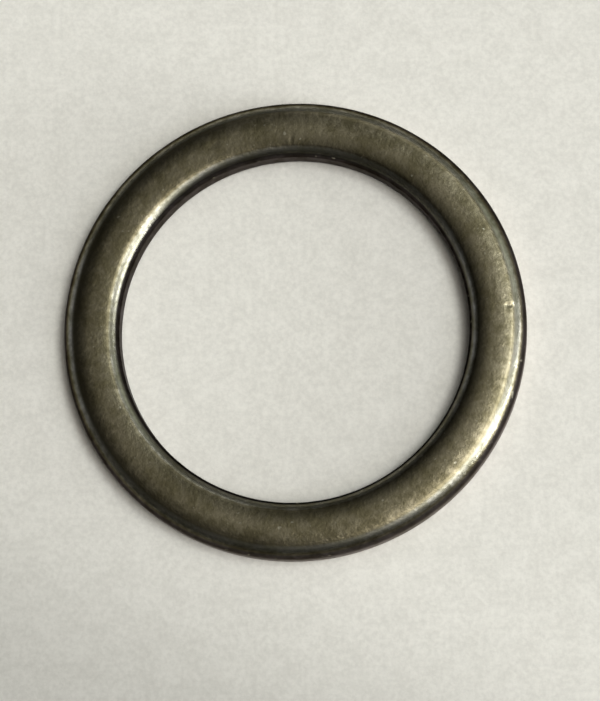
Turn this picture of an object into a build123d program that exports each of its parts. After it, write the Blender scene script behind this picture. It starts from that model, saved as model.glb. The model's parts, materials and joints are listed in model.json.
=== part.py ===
from build123d import *

import math
import os

# A bicycle pedal spacer washer: one plain steel ring that slips over the
# threaded pedal spindle and is clamped between the pedal's shoulder and the
# crank arm, so the steel shoulder does not bite into the softer arm.
#
# The real one is cut from sheet or bar and then tumbled. Tumbling rolls the
# edges over, so the upper face is a narrow flat land that falls away through
# a shallow shoulder on each side before it turns down into the bore and the
# outside wall. Lengths are in millimetres. The origin is the centre of the
# lower face and +Z is the axis of the bore.

# ---- driving sizes -------------------------------------------------------
outside_diameter = 20.0     # about the width of the pedal's wrench shoulder
bore_diameter = 15.1        # slips over a 9/16 inch spindle thread (14.3 mm)
thickness = 1.6             # what the spacer adds between pedal and crank

outside_edge_radius = 0.82  # rolled upper edge, outside: the softest one
bore_edge_radius = 0.64     # rolled upper edge, at the bore: a little tighter
lower_edge_radius = 0.30    # lower edges, which keep more of their corner

shoulder_radius = 3.2       # shallow fall of the face beside the flat land
shoulder_angle = 10.0       # degrees turned by each shoulder

# ---- sizes that follow ---------------------------------------------------
outside_radius = outside_diameter / 2
bore_radius = bore_diameter / 2
ring_width = outside_radius - bore_radius
turn = math.radians(shoulder_angle)
edge_angle = 90.0 - shoulder_angle


def reach(shoulder, edge):
    """How far in from the wall a rolled edge and its shoulder take up the face."""
    return shoulder * math.sin(turn) + edge * (1.0 - math.sin(turn))


def drop(shoulder, edge):
    """How far below the land a rolled edge meets the straight wall."""
    return shoulder * (1.0 - math.cos(turn)) + edge * math.cos(turn)


# Tumbling can't roll an edge further than the ring is wide or thick. On a
# slim or thin ring all the rolled radii shrink together until they fit, with
# a twentieth of the face and of the wall left straight.
most_reach = reach(shoulder_radius, outside_edge_radius) + reach(shoulder_radius, bore_edge_radius)
most_drop = drop(shoulder_radius, outside_edge_radius) + lower_edge_radius
room = min(1.0, 0.95 * ring_width / most_reach, 0.95 * thickness / most_drop)

shoulder_roll = room * shoulder_radius
outside_roll = room * outside_edge_radius
bore_roll = room * bore_edge_radius
lower_roll = room * lower_edge_radius

land_inner = bore_radius + reach(shoulder_roll, bore_roll)
land_outer = outside_radius - reach(shoulder_roll, outside_roll)

# ---- the ring ------------------------------------------------------------
# The section is one closed chain of lines and arcs, each starting along the
# tangent of the one before, so no ridge is left where the face rolls over.
# From the land it runs clockwise: out and down the outside wall, back under
# the lower face and round into the bore.
with BuildPart() as spacer_washer:
    with BuildSketch(Plane.XZ) as section:
        with BuildLine() as outline:
            land = Line((land_inner, thickness), (land_outer, thickness))
            outer_shoulder = JernArc(land @ 1, land % 1, shoulder_roll, -shoulder_angle)
            outer_edge = JernArc(
                outer_shoulder @ 1, outer_shoulder % 1, outside_roll, -edge_angle
            )
            outer_wall = Line(outer_edge @ 1, (outside_radius, lower_roll))
            outer_foot = JernArc(outer_wall @ 1, outer_wall % 1, lower_roll, -90)
            seat = Line(outer_foot @ 1, (bore_radius + lower_roll, 0))
            bore_foot = JernArc(seat @ 1, seat % 1, lower_roll, -90)

            # The bore side of the upper face is drawn from the land inwards,
            # so both ends of the chain meet on the straight bore wall.
            bore_shoulder = JernArc(land @ 0, -(land % 0), shoulder_roll, shoulder_angle)
            bore_edge = JernArc(
                bore_shoulder @ 1, bore_shoulder % 1, bore_roll, edge_angle
            )
            bore_wall = Line(bore_edge @ 1, bore_foot @ 1)
        make_face()
    revolve(axis=Axis.Z)

spacer_washer.part.label = "spacer_washer"

# ---- hand in -------------------------------------------------------------
os.makedirs("parts", exist_ok=True)
export_step(spacer_washer.part, "parts/spacer_washer.step")

print("land", round(land_inner, 3), "to", round(land_outer, 3), "mm from the axis")
print("straight bore wall", round(bore_wall.length, 3), "mm long")
print("straight outside wall", round(outer_wall.length, 3), "mm long")
print("volume", round(spacer_washer.part.volume, 2), "mm3")
print("box", spacer_washer.part.bounding_box())
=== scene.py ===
# %% [markdown]
# # A tumbled steel spacer washer
#
# The real object is one steel ring, about as wide as a small coin. It slips
# over the spindle of a bicycle pedal and keeps the spindle's shoulder off the
# crank arm. Nothing on it moves. All of its character is in two things: the
# way its edges roll over, and a satin finish that came from being tumbled
# with stones in a drum.
#
# The exact solid comes packed from the CAD step, in metres, with its lower
# face on the floor and the axis of its bore along Z. This lesson dresses that
# ring, lays it on a sheet of paper and lights it like a ring beside a window.

# %% Load the packed ring
import json
import math

import bpy
import numpy as np
from mathutils import Matrix, Vector


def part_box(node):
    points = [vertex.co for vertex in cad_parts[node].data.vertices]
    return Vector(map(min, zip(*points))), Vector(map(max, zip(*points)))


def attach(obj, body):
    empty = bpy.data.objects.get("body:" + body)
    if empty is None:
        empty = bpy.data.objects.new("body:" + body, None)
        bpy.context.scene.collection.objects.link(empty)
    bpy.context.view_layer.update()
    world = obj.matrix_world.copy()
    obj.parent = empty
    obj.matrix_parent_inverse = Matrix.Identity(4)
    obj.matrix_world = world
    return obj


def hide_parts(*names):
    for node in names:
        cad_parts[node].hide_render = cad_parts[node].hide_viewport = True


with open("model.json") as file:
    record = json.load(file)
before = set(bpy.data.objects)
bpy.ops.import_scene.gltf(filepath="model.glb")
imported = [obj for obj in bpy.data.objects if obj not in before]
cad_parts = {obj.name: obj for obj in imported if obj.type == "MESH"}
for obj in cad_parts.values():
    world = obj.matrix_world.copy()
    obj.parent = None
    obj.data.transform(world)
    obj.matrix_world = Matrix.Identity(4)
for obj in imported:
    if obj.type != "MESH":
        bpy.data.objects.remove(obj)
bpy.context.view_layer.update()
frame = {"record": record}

# %% [markdown]
# ## Sizes
#
# The outside size and the height are read from the ring's own box, and the
# bore from the mount that the record states. The record doesn't state the
# radii of the rolled edges, so they are written here, as a maker would put
# them on the drawing.

# %% Sizes of the ring
mm = 0.001
ring_low, ring_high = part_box("spacer_washer")
outside_radius = (ring_high[0] - ring_low[0]) / 2
thickness = ring_high[2] - ring_low[2]
bore_mount = next(m for m in frame["record"]["mounts"] if m["name"] == "bore")
bore_radius = bore_mount["dims"]["r_mm"] * mm
diameter = 2 * outside_radius

outside_edge = 0.82 * mm
bore_edge = 0.64 * mm
lower_edge = 0.30 * mm
shoulder = 3.2 * mm
shoulder_turn = math.radians(10.0)
print("radii in mm: outside", round(outside_radius / mm, 3), "bore", round(bore_radius / mm, 3),
      "thickness", round(thickness / mm, 3))

# %% [markdown]
# ## The section of the ring
#
# A stamped ring has square corners until it is tumbled. Tumbling turns each
# upper corner into a quarter round and lets the face fall away a little
# beside it, so only a narrow land stays flat. The lower corners keep more of
# their edge.
#
# The section could be a polygon with a bevel modifier, but a bevel has one
# radius for all corners and no shallow shoulder. Here it is worked out as a
# chain of arcs and straight runs, each starting along the tangent of the one
# before. The points sit closer together where the surface turns, because
# that is where metal shows every facet.

# %% The section as one closed chain
def arc(centre_r, centre_z, radius, first, last, count):
    """Points of an arc: r = centre_r + radius * sin(a), z = centre_z + radius * cos(a),
    with the angle a measured from straight up towards the outside of the ring."""
    a = np.linspace(first, last, count, endpoint=False)
    return np.column_stack([centre_r + radius * np.sin(a), centre_z + radius * np.cos(a), a])


def run(start, stop, angle, count):
    """Points of a straight run from start to stop, whose surface faces the given angle."""
    t = np.linspace(0, 1, count, endpoint=False)[:, None]
    points = (1 - t) * np.array(start) + t * np.array(stop)
    return np.column_stack([points, np.full(count, angle)])


def ring_section():
    """Rows of (r, z, facing angle) once round the section, clockwise from the flat land."""
    s, c = math.sin(shoulder_turn), math.cos(shoulder_turn)
    land_out = outside_radius - shoulder * s - outside_edge * (1 - s)
    land_in = bore_radius + shoulder * s + bore_edge * (1 - s)
    fall = shoulder * (1 - c)
    out_r, out_z = outside_radius - outside_edge, thickness - fall - outside_edge * c
    in_r, in_z = bore_radius + bore_edge, thickness - fall - bore_edge * c
    quarter = math.pi / 2
    return np.vstack([
        run((land_in, thickness), (land_out, thickness), 0.0, 4),
        arc(land_out, thickness - shoulder, shoulder, 0.0, shoulder_turn, 6),
        arc(out_r, out_z, outside_edge, shoulder_turn, quarter, 20),
        run((outside_radius, out_z), (outside_radius, lower_edge), quarter, 7),
        arc(outside_radius - lower_edge, lower_edge, lower_edge, quarter, 2 * quarter, 7),
        run((outside_radius - lower_edge, 0.0), (bore_radius + lower_edge, 0.0), 2 * quarter, 8),
        arc(bore_radius + lower_edge, lower_edge, lower_edge, 2 * quarter, 3 * quarter, 7),
        run((bore_radius, lower_edge), (bore_radius, in_z), 3 * quarter, 7),
        arc(in_r, in_z, bore_edge, 3 * quarter, 4 * quarter - shoulder_turn, 16),
        arc(land_in, thickness - shoulder, shoulder, 4 * quarter - shoulder_turn, 4 * quarter, 6),
    ])


section = ring_section()
on_land = section[:, 1] > thickness - 1e-9
print("points in the section:", len(section), "of which on the flat land:", on_land.sum())

# %% [markdown]
# ## Carrying the section round, with the wear of the drum
#
# A perfectly turned ring looks like a drawing. On the real one the face is
# very slightly wavy, there is a nick near the outside edge, a short streak
# that runs across the face and one soft spot beside it.
#
# A sculpting brush could make these, but then nobody could repeat them. Here
# each mark is a smooth function of where it lies, in metres, and pushes the
# surface inwards along its normal, so the ring never grows past its size.

# %% The ring as a grid of points and normals
steps_round = 1080
turn_round = np.linspace(0, 2 * math.pi, steps_round, endpoint=False)
radial = np.column_stack([np.cos(turn_round), np.sin(turn_round), np.zeros(steps_round)])
upward = np.array([0.0, 0.0, 1.0])

# Surface of revolution: point = r * (cos t, sin t, 0) + z * up, for each row
# (r, z) of the section and each angle t.
points = section[None, :, 0, None] * radial[:, None, :] + section[None, :, 1, None] * upward
normals = (np.sin(section[None, :, 2, None]) * radial[:, None, :]
           + np.cos(section[None, :, 2, None]) * upward)
print("grid:", points.shape[:2])

# %% Waves of the tumbled face
def ripple(where, wavelength, seed, waves=24):
    """Sum of plane waves of one wavelength in random directions, about -1 to 1."""
    rng = np.random.default_rng(seed)
    ways = rng.normal(size=(waves, 3))
    ways *= 2 * math.pi / wavelength / np.linalg.norm(ways, axis=1)[:, None]
    phase = rng.uniform(0, 2 * math.pi, waves)
    return np.cos(where @ ways.T + phase).sum(-1) / math.sqrt(waves) / 1.6


wave = 0.0035 * mm * (1 + ripple(points, wavelength=2.6 * mm, seed=11)).clip(0, None)
wave += 0.0012 * mm * (1 + ripple(points, wavelength=0.9 * mm, seed=12)).clip(0, None)
# The lower face and its edges stay true, because the ring is seated there.
tumbled_side = (np.cos(section[:, 2]) > -0.2).astype(float)
print("waves in microns, mean and most:", round(wave.mean() * 1e6, 1), round(wave.max() * 1e6, 1))

# %% Marks on the face
def on_face(degrees, radius):
    """The point of the upper face at that angle and distance from the axis."""
    a = math.radians(degrees)
    return np.array([radius * math.cos(a), radius * math.sin(a), thickness])


def bruise(where, centre, along, length, width):
    """A smooth dimple: exp(-(u/length)^4 - (v/width)^4) in the plane of the face,
    with u measured along the given angle and v across it."""
    a = math.radians(along)
    offset = where - centre
    u = offset[..., 0] * math.cos(a) + offset[..., 1] * math.sin(a)
    v = -offset[..., 0] * math.sin(a) + offset[..., 1] * math.cos(a)
    top = where[..., 2] > thickness / 2
    return top * np.exp(-(u / length) ** 4 - (v / width) ** 4)


nick = 0.036 * mm * bruise(points, on_face(degrees=4.4, radius=9.34 * mm),
                           along=20, length=0.13 * mm, width=0.09 * mm)
streak = 0.006 * mm * bruise(points, on_face(degrees=90.3, radius=8.30 * mm),
                             along=90, length=0.30 * mm, width=0.07 * mm)
soft_spot = 0.010 * mm * bruise(points, on_face(degrees=113, radius=8.76 * mm),
                                along=0, length=0.22 * mm, width=0.18 * mm)
depth = wave * tumbled_side[None, :] + nick + streak + soft_spot
worn = points - depth[..., None] * normals
print("deepest mark in microns:", round(depth.max() * 1e6, 1))

# %% [markdown]
# ## The mesh
#
# The grid closes on itself in both directions, so every point is shared and
# there is no seam for light to leak through. Each face is wound so that it
# points out of the metal.

# %% Build the ring mesh
def closed_grid_mesh(name, grid):
    """A mesh of quads over a grid of points that wraps round in both directions."""
    rows, columns = grid.shape[:2]
    row = np.arange(rows)[:, None]
    column = np.arange(columns)[None, :]

    def corner(down, along):
        """Number of the point that many rows down and columns along, past the end to the start."""
        return (row + down) % rows * columns + (column + along) % columns

    quads = np.stack([corner(0, 0), corner(0, 1), corner(1, 1), corner(1, 0)], -1).reshape(-1, 4)
    mesh = bpy.data.meshes.new(name)
    mesh.vertices.add(rows * columns)
    mesh.vertices.foreach_set("co", grid.reshape(-1))
    mesh.loops.add(quads.size)
    mesh.loops.foreach_set("vertex_index", quads.reshape(-1))
    mesh.polygons.add(len(quads))
    mesh.polygons.foreach_set("loop_start", np.arange(0, quads.size, 4))
    mesh.update(calc_edges=True)
    mesh.validate()
    mesh.polygons.foreach_set("use_smooth", np.ones(len(quads), dtype=bool))
    return mesh


ring_mesh = closed_grid_mesh("tumbled_ring", worn)
ring = bpy.data.objects.new("tumbled_ring", ring_mesh)
bpy.context.collection.objects.link(ring)
top_face = max(ring_mesh.polygons, key=lambda p: p.center.z)
print("quads:", len(ring_mesh.polygons), "top normal:", tuple(round(v, 2) for v in top_face.normal))

# %% [markdown]
# ## A shorthand for shader maths
#
# Materials are built from nodes, and a line of arithmetic reads better than a
# chain of them. `Wire` holds one output socket. Plus, minus, times and the
# like on a wire add a Math node, with a number on either side. Everything
# else, such as a noise texture or a colour mix, comes from `Graph.node`.

# %% A wire
class Wire:
    """One output socket of a node. Arithmetic on wires of values adds Math nodes."""

    def __init__(self, graph, socket):
        self.graph, self.socket = graph, socket

    def maths(self, operation, first, second):
        return self.graph.node("ShaderNodeMath", {"operation": operation}, {0: first, 1: second})

    def __add__(self, other):
        return self.maths("ADD", self, other)

    def __radd__(self, other):
        return self.maths("ADD", other, self)

    def __sub__(self, other):
        return self.maths("SUBTRACT", self, other)

    def __rsub__(self, other):
        return self.maths("SUBTRACT", other, self)

    def __mul__(self, other):
        return self.maths("MULTIPLY", self, other)

    def __rmul__(self, other):
        return self.maths("MULTIPLY", other, self)

    def __truediv__(self, other):
        return self.maths("DIVIDE", self, other)

    def __rtruediv__(self, other):
        return self.maths("DIVIDE", other, self)


print("operators on a wire: + - * /, with the wire on either side")

# %% A graph
class Graph:
    """The nodes of one material or world, emptied first."""

    def __init__(self, owner):
        owner.use_nodes = True
        self.tree = owner.node_tree
        self.tree.nodes.clear()

    def node(self, kind, settings=None, inputs=None, out=0):
        """Adds a node, applies its settings, then fills its sockets with values or wires.
        A socket is given by its name or its place, and out is the place of the output."""
        made = self.tree.nodes.new(kind)
        for key, value in (settings or {}).items():
            if key == "stops":
                ramp = made.color_ramp
                while len(ramp.elements) < len(value):
                    ramp.elements.new(0.5)
                for element, (place, stop_colour) in zip(ramp.elements, value):
                    element.position, element.color = place, (*stop_colour, 1.0)
            else:
                setattr(made, key, value)
        for key, value in (inputs or {}).items():
            if isinstance(value, Wire):
                self.tree.links.new(value.socket, made.inputs[key])
            else:
                made.inputs[key].default_value = value
        return Wire(self, made.outputs[out]) if made.outputs else made

    def smooth(self, value, low, high):
        """0 below low, 1 above high and an S-curve between them."""
        return self.node("ShaderNodeMapRange", {"interpolation_type": "SMOOTHSTEP"},
                         {"Value": value, "From Min": low, "From Max": high})

    def blend(self, mask, first, second):
        """Colour first where the mask is 0 and second where it is 1."""
        return self.node("ShaderNodeMix", {"data_type": "RGBA"},
                         {0: mask, 6: first, 7: second}, out=2)

    def multiply(self, first, second):
        """The two colours multiplied, channel by channel."""
        return self.node("ShaderNodeMix", {"data_type": "RGBA", "blend_type": "MULTIPLY"},
                         {0: 1.0, 6: first, 7: second}, out=2)

    def noise(self, where, size, detail=2.0, roughness=0.5):
        """Noise between 0 and 1 whose lumps are about the given size, in metres."""
        return self.node("ShaderNodeTexNoise", {"noise_dimensions": "3D"},
                         {"Vector": where, "Scale": 1.0 / size,
                          "Detail": detail, "Roughness": roughness})


print("helpers of a graph:", [name for name in vars(Graph) if not name.startswith("_")])

# %% Colours as they look on screen
def colour(red, green, blue):
    """A colour given as it looks on screen, 0 to 255, turned to the linear value nodes use."""
    shown = np.array((red, green, blue)) / 255
    linear = np.where(shown <= 0.04045, shown / 12.92, ((shown + 0.055) / 1.055) ** 2.4)
    return (*linear, 1.0)


print("middle grey on screen is", round(colour(128, 128, 128)[0], 3), "as a linear value")

# %% [markdown]
# ## Tumbled steel
#
# Tumbling leaves steel satin, not mirror bright: thousands of tiny dents each
# throw the light a slightly different way, so a highlight ends in grain and
# sparkle instead of a clean line. The water in the drum leaves a thin olive
# brown film on the flat face. About a third of the way round each rolled upper
# edge the tint is bare steel, partly where the stones rub the film off and
# partly a painted highlight, bright just where the window's reflection lies.
# Further round, the steep parts of the edges are painted almost black, a
# painted shade, and the bore wall is painted darker than the outside wall.
# The walls are tinted next to violet.
#
# An image of scratched metal would repeat and blur up close. Noise read from
# Object coordinates has no seam and keeps its true size: grain of a fifth of
# a millimetre, patches of a few millimetres. The tint, film and painted
# highlight and shade alike, depends on how far the surface has turned from the
# flat face, and the mesh knows that exactly. So it hands the material one value
# for each point, in degrees: above zero on the side of the outside wall and
# below zero on the side of the bore.

# %% How far each point has turned from the flat face
turned = np.degrees(np.arctan2(np.sin(section[:, 2]), np.cos(section[:, 2])))
turned_at_points = ring_mesh.attributes.new("turned", "FLOAT", "POINT")
turned_at_points.data.foreach_set("value", np.tile(turned, steps_round).astype(np.float32))
print("turned, degrees:", turned.min().round(1), "to", turned.max().round(1))

# %% Noise for the steel
steel = bpy.data.materials.new("tumbled_steel")
metal = Graph(steel)
here = metal.node("ShaderNodeTexCoord", out=3)
degrees_turned = metal.node("ShaderNodeAttribute", {"attribute_name": "turned"}, out=2)

patch_size, film_size, grain_size, fine_size = 2.2 * mm, 0.55 * mm, 0.20 * mm, 0.09 * mm
patches = metal.noise(here, patch_size, detail=4.0, roughness=0.55)
film = metal.noise(here, film_size, detail=4.0, roughness=0.6)
grain = metal.noise(here, grain_size, detail=3.0, roughness=0.5)
fine = metal.noise(here, fine_size, detail=1.0, roughness=0.5)
print("lumps of noise in mm:",
      [round(size / mm, 2) for size in (patch_size, film_size, grain_size, fine_size)])

# %% [markdown]
# The colour is built in layers. A ramp first turns the degrees into a tint:
# the olive film, bare steel or the violet film, with a painted highlight where
# the bare steel lies on the rolled edges and painted shade on the steep rims
# and the bore wall. Noise added to the degrees frays the borders between them.
# Stains and specks then multiply the tint, because a mix would lift the painted
# dark edges to grey. Last come a few pale dents, where a stone has struck
# through the film.
#
# Clean metal turns to a mirror at a glancing angle. This film doesn't, so a
# low specular tint keeps the steep edges dark.

# %% The colour of the steel
olive = np.array((0.157, 0.139, 0.088))
bare_steel_and_highlight = np.array((0.505, 0.483, 0.378))
violet = np.array((0.340, 0.295, 0.275))
# Painted highlight and shade: the bare steel stops from about 29 to 47 degrees either side stand in
# for the window's highlight on the rolled edges, and the near-black stops from about 57 to 78
# degrees and the dim bore wall stand in for shade.
film_and_painted_light_by_turn = [
    (-90, 0.37 * violet), (-78, 0.11 * violet), (-57, 0.06 * violet),
    (-47, 0.32 * bare_steel_and_highlight), (-38, 0.79 * bare_steel_and_highlight), (-29, 0.73 * bare_steel_and_highlight),
    (-20, 0.65 * olive), (-10, 0.51 * olive), (0, olive), (10, 0.66 * olive),
    (20, 1.38 * olive), (29, bare_steel_and_highlight), (38, 0.60 * bare_steel_and_highlight), (47, 0.66 * olive),
    (58, 0.14 * violet), (70, 0.17 * violet), (80, 0.42 * violet), (90, violet)]
film_fray, grain_fray = 7.0, 3.0
ragged = degrees_turned + (film - 0.5) * film_fray + (grain - 0.5) * grain_fray
tint = metal.node("ShaderNodeValToRGB",
                  {"stops": [(0.5 + turn / 180, layer) for turn, layer in film_and_painted_light_by_turn]},
                  {0: ragged / 180.0 + 0.5})
stain = metal.blend(metal.smooth(patches * 0.45 + film * 0.55, 0.38, 0.62),
                    (1.22, 1.22, 1.25, 1), (0.75, 0.74, 0.67, 1))
speck = metal.blend(metal.smooth(grain, 0.3, 0.7),
                    (1.14, 1.14, 1.16, 1), (0.86, 0.86, 0.84, 1))
dent_size, dent_strength = 0.22 * mm, 0.45
dents = metal.smooth(metal.noise(here, dent_size, detail=0.0), 0.79, 0.86)
steel_colour = metal.blend(dents * dent_strength,
                           metal.multiply(metal.multiply(tint, stain), speck),
                           (0.42, 0.40, 0.31, 1))
print("tints by turn:", len(film_and_painted_light_by_turn))

# %% The shader of the steel
satin = 0.33
grain_height = 0.009 * mm
roughness = satin + (grain - 0.5) * 0.10 + (film - 0.5) * 0.12
bumped = metal.node("ShaderNodeBump", inputs={
    "Strength": 1.0, "Distance": 1.0, "Height": (grain + fine * 0.4) * grain_height})
shader = metal.node("ShaderNodeBsdfPrincipled", inputs={
    "Base Color": steel_colour, "Metallic": 1.0, "Roughness": roughness,
    "Specular Tint": (0.35, 0.35, 0.35, 1.0), "Normal": bumped})
metal.node("ShaderNodeOutputMaterial", inputs={0: shader})

ring_mesh.materials.append(steel)
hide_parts("spacer_washer")
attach(ring, "root")
print("steel nodes:", len(steel.node_tree.nodes))

# %% [markdown]
# ## The sheet of paper
#
# The ring lies on pale, uncoated paper. Paper is matt and slightly mottled:
# its fibres are a quarter of a millimetre across and clump at about a
# millimetre, and light catches them softly. One plane is enough, wide enough
# to be seen from every side.
#
# The sheet is flat, but towards the near left its colour is painted
# darker: a painted shade, standing in for less light falling there. It starts
# under that side of the ring, is full about one ring away from the middle and
# fades out again over seven.

# %% The paper
half = 30 * diameter
paper_mesh = bpy.data.meshes.new("paper")
paper_mesh.from_pydata([(-half, -half, 0), (half, -half, 0), (half, half, 0), (-half, half, 0)],
                       [], [(0, 1, 2, 3)])
paper = bpy.data.objects.new("paper", paper_mesh)
bpy.context.collection.objects.link(paper)
print("side of the paper in mm:", round(2 * half / mm))

# %% The look of the paper
paper_look = bpy.data.materials.new("paper_look")
sheet = Graph(paper_look)
here = sheet.node("ShaderNodeTexCoord", out=3)
clumps = sheet.noise(here, 1.0 * mm, detail=3.0, roughness=0.5)
fibres = sheet.noise(here, 0.24 * mm, detail=3.0, roughness=0.65)
mottle = sheet.smooth(clumps * 0.35 + fibres * 0.65, 0.30, 0.70)
flat_colour = sheet.blend(mottle, colour(217, 214, 203), colour(233, 230, 219))

across, along = (sheet.node("ShaderNodeSeparateXYZ", inputs={0: here}, out=k) for k in (0, 1))
# Painted shade: the paper's colour darkens towards the near left, down to about two thirds.
near_left = across * -0.4 + along * -0.9
shade_starts, shade_full, shade_ends = 0.35 * diameter, 0.95 * diameter, 7.0 * diameter
painted_shade_mask = (sheet.smooth(near_left, shade_starts, shade_full)
        * (1.0 - sheet.smooth(near_left, shade_full, shade_ends)))
painted_corner_shade = sheet.blend(painted_shade_mask, (1.0, 1.0, 1.0, 1), (0.69, 0.69, 0.69, 1))

tooth_height = 0.008 * mm
tooth = sheet.node("ShaderNodeBump", inputs={
    "Strength": 1.0, "Distance": 1.0, "Height": (clumps + fibres) * tooth_height})
shader = sheet.node("ShaderNodeBsdfPrincipled", inputs={
    "Base Color": sheet.multiply(flat_colour, painted_corner_shade), "Roughness": 0.9,
    "Specular IOR Level": 0.2, "Normal": tooth})
sheet.node("ShaderNodeOutputMaterial", inputs={0: shader})
paper_mesh.materials.append(paper_look)
print("paper nodes:", len(paper_look.node_tree.nodes))

# %% [markdown]
# ## Light
#
# Metal shows what is around it, so lighting it means deciding what it sees.
# A skylight above the right hand makes the paper pale and keeps the shadows
# short. Below it a window runs down to the horizon, and its reflection is
# the bright line along the rolled edges that lean towards it. A pale wall
# beside the window fills in. The far side of the room stays dim, which is
# what makes the steel read as dark pewter.
#
# One large area lamp would be simpler, but its low part would stretch every
# shadow. Splitting it into panels lets the part near the horizon be bright
# in the metal while it hardly touches the paper. The panels stand sixty
# rings away, so the paper is lit as evenly as by daylight, and the camera
# doesn't see them, so no low view looks into one.

# %% Lamps
def panel(name, tilt, towards, tall, wide, strength, tint=(1.0, 1.0, 1.0)):
    """A rectangle of light that faces the ring from 60 diameters away. tilt is how far it
    stands from straight overhead and towards is its bearing round Z from X; tall and wide
    are the angles that it covers. All are in degrees. strength is its radiance, so a
    surface that reflects it fully looks that many times as bright as white paper."""
    reach = 60 * diameter
    t, b = math.radians(tilt), math.radians(towards)
    back = Vector((math.sin(t) * math.cos(b), math.sin(t) * math.sin(b), math.cos(t)))
    side = Vector((-math.sin(b), math.cos(b), 0))
    lamp = bpy.data.lights.new(name, "AREA")
    lamp.shape = "RECTANGLE"
    lamp.size = 2 * reach * math.tan(math.radians(wide / 2))
    lamp.size_y = 2 * reach * math.tan(math.radians(tall / 2))
    lamp.energy = strength * math.pi * lamp.size * lamp.size_y
    lamp.color = tint
    placed = bpy.data.objects.new(name, lamp)
    placed.matrix_world = (Matrix.Translation(back * reach)
                           @ Matrix((side, back.cross(side), back)).transposed().to_4x4())
    placed.visible_camera = False
    bpy.context.collection.objects.link(placed)
    return placed


panel("skylight", tilt=22, towards=-32, tall=26, wide=15, strength=7.8, tint=(1.0, 0.97, 0.94))
panel("skylight_edge", tilt=26, towards=10, tall=16, wide=19, strength=12.2, tint=(0.94, 0.97, 1.0))
panel("skylight_side", tilt=29, towards=52, tall=20, wide=15, strength=2.85, tint=(0.94, 1.0, 0.98))
panel("pale_wall", tilt=42, towards=74, tall=24, wide=26, strength=1.2)
panel("pale_wall_foot", tilt=72, towards=32, tall=24, wide=30, strength=0.46, tint=(0.90, 1.0, 0.80))
panel("window", tilt=46, towards=-29, tall=18, wide=22, strength=4.6, tint=(0.90, 0.93, 1.0))
panel("window_middle", tilt=65, towards=-23, tall=20, wide=20, strength=2.5)
panel("window_foot", tilt=82, towards=-17, tall=14, wide=22, strength=21.5, tint=(0.94, 0.97, 1.0))
panel("window_end", tilt=86, towards=3, tall=10, wide=18, strength=13.6, tint=(0.92, 0.94, 1.0))
panel("overhead", tilt=10, towards=150, tall=16, wide=34, strength=0.46, tint=(1.0, 0.97, 0.88))
panel("far_wall", tilt=78, towards=171, tall=20, wide=44, strength=0.28, tint=(0.80, 0.84, 1.0))
print("lamps:", [lamp.name for lamp in bpy.data.lights])

# %% The rest of the room
world = bpy.data.worlds.new("dim_room")
bpy.context.scene.world = world
room = Graph(world)
walls = room.node("ShaderNodeBackground", inputs={"Color": (1.0, 1.0, 1.0, 1), "Strength": 0.01})
room.node("ShaderNodeOutputWorld", inputs={0: walls})
print("world nodes:", len(world.node_tree.nodes))

# %% [markdown]
# ## Camera
#
# The ring is looked at from nearly straight above, leaning a little towards
# the near right, so a sliver of the bore's far wall and of the near outside
# wall shows. A long lens from six and a half diameters away keeps the ring
# round. The aim is a little nearer than the middle of the ring, which sets
# the ring above the middle of the view.

# %% Camera
camera_data = bpy.data.cameras.new("camera")
camera = bpy.data.objects.new("camera", camera_data)
bpy.context.collection.objects.link(camera)
bpy.context.scene.camera = camera

lean, towards = math.radians(12.45), math.radians(-62.8)
distance = 6.5 * diameter
eye = distance * Vector((math.sin(lean) * math.cos(towards),
                         math.sin(lean) * math.sin(towards), math.cos(lean)))
aim = Vector((0.0092, -0.0399, 0)) * diameter
back = (eye - aim).normalized()
right = Vector((0, 1, 0)).cross(back).normalized()
camera.matrix_world = (Matrix.Translation(eye)
                       @ Matrix((right, back.cross(right), back)).transposed().to_4x4())
camera_data.lens = 154.3
camera_data.clip_start = 1.0 * mm
print("camera distance in mm:", round(distance / mm, 1))

# %% [markdown]
# ## Finish
#
# Colours are shown plainly.

# %% View transform
bpy.context.scene.view_settings.view_transform = "Standard"
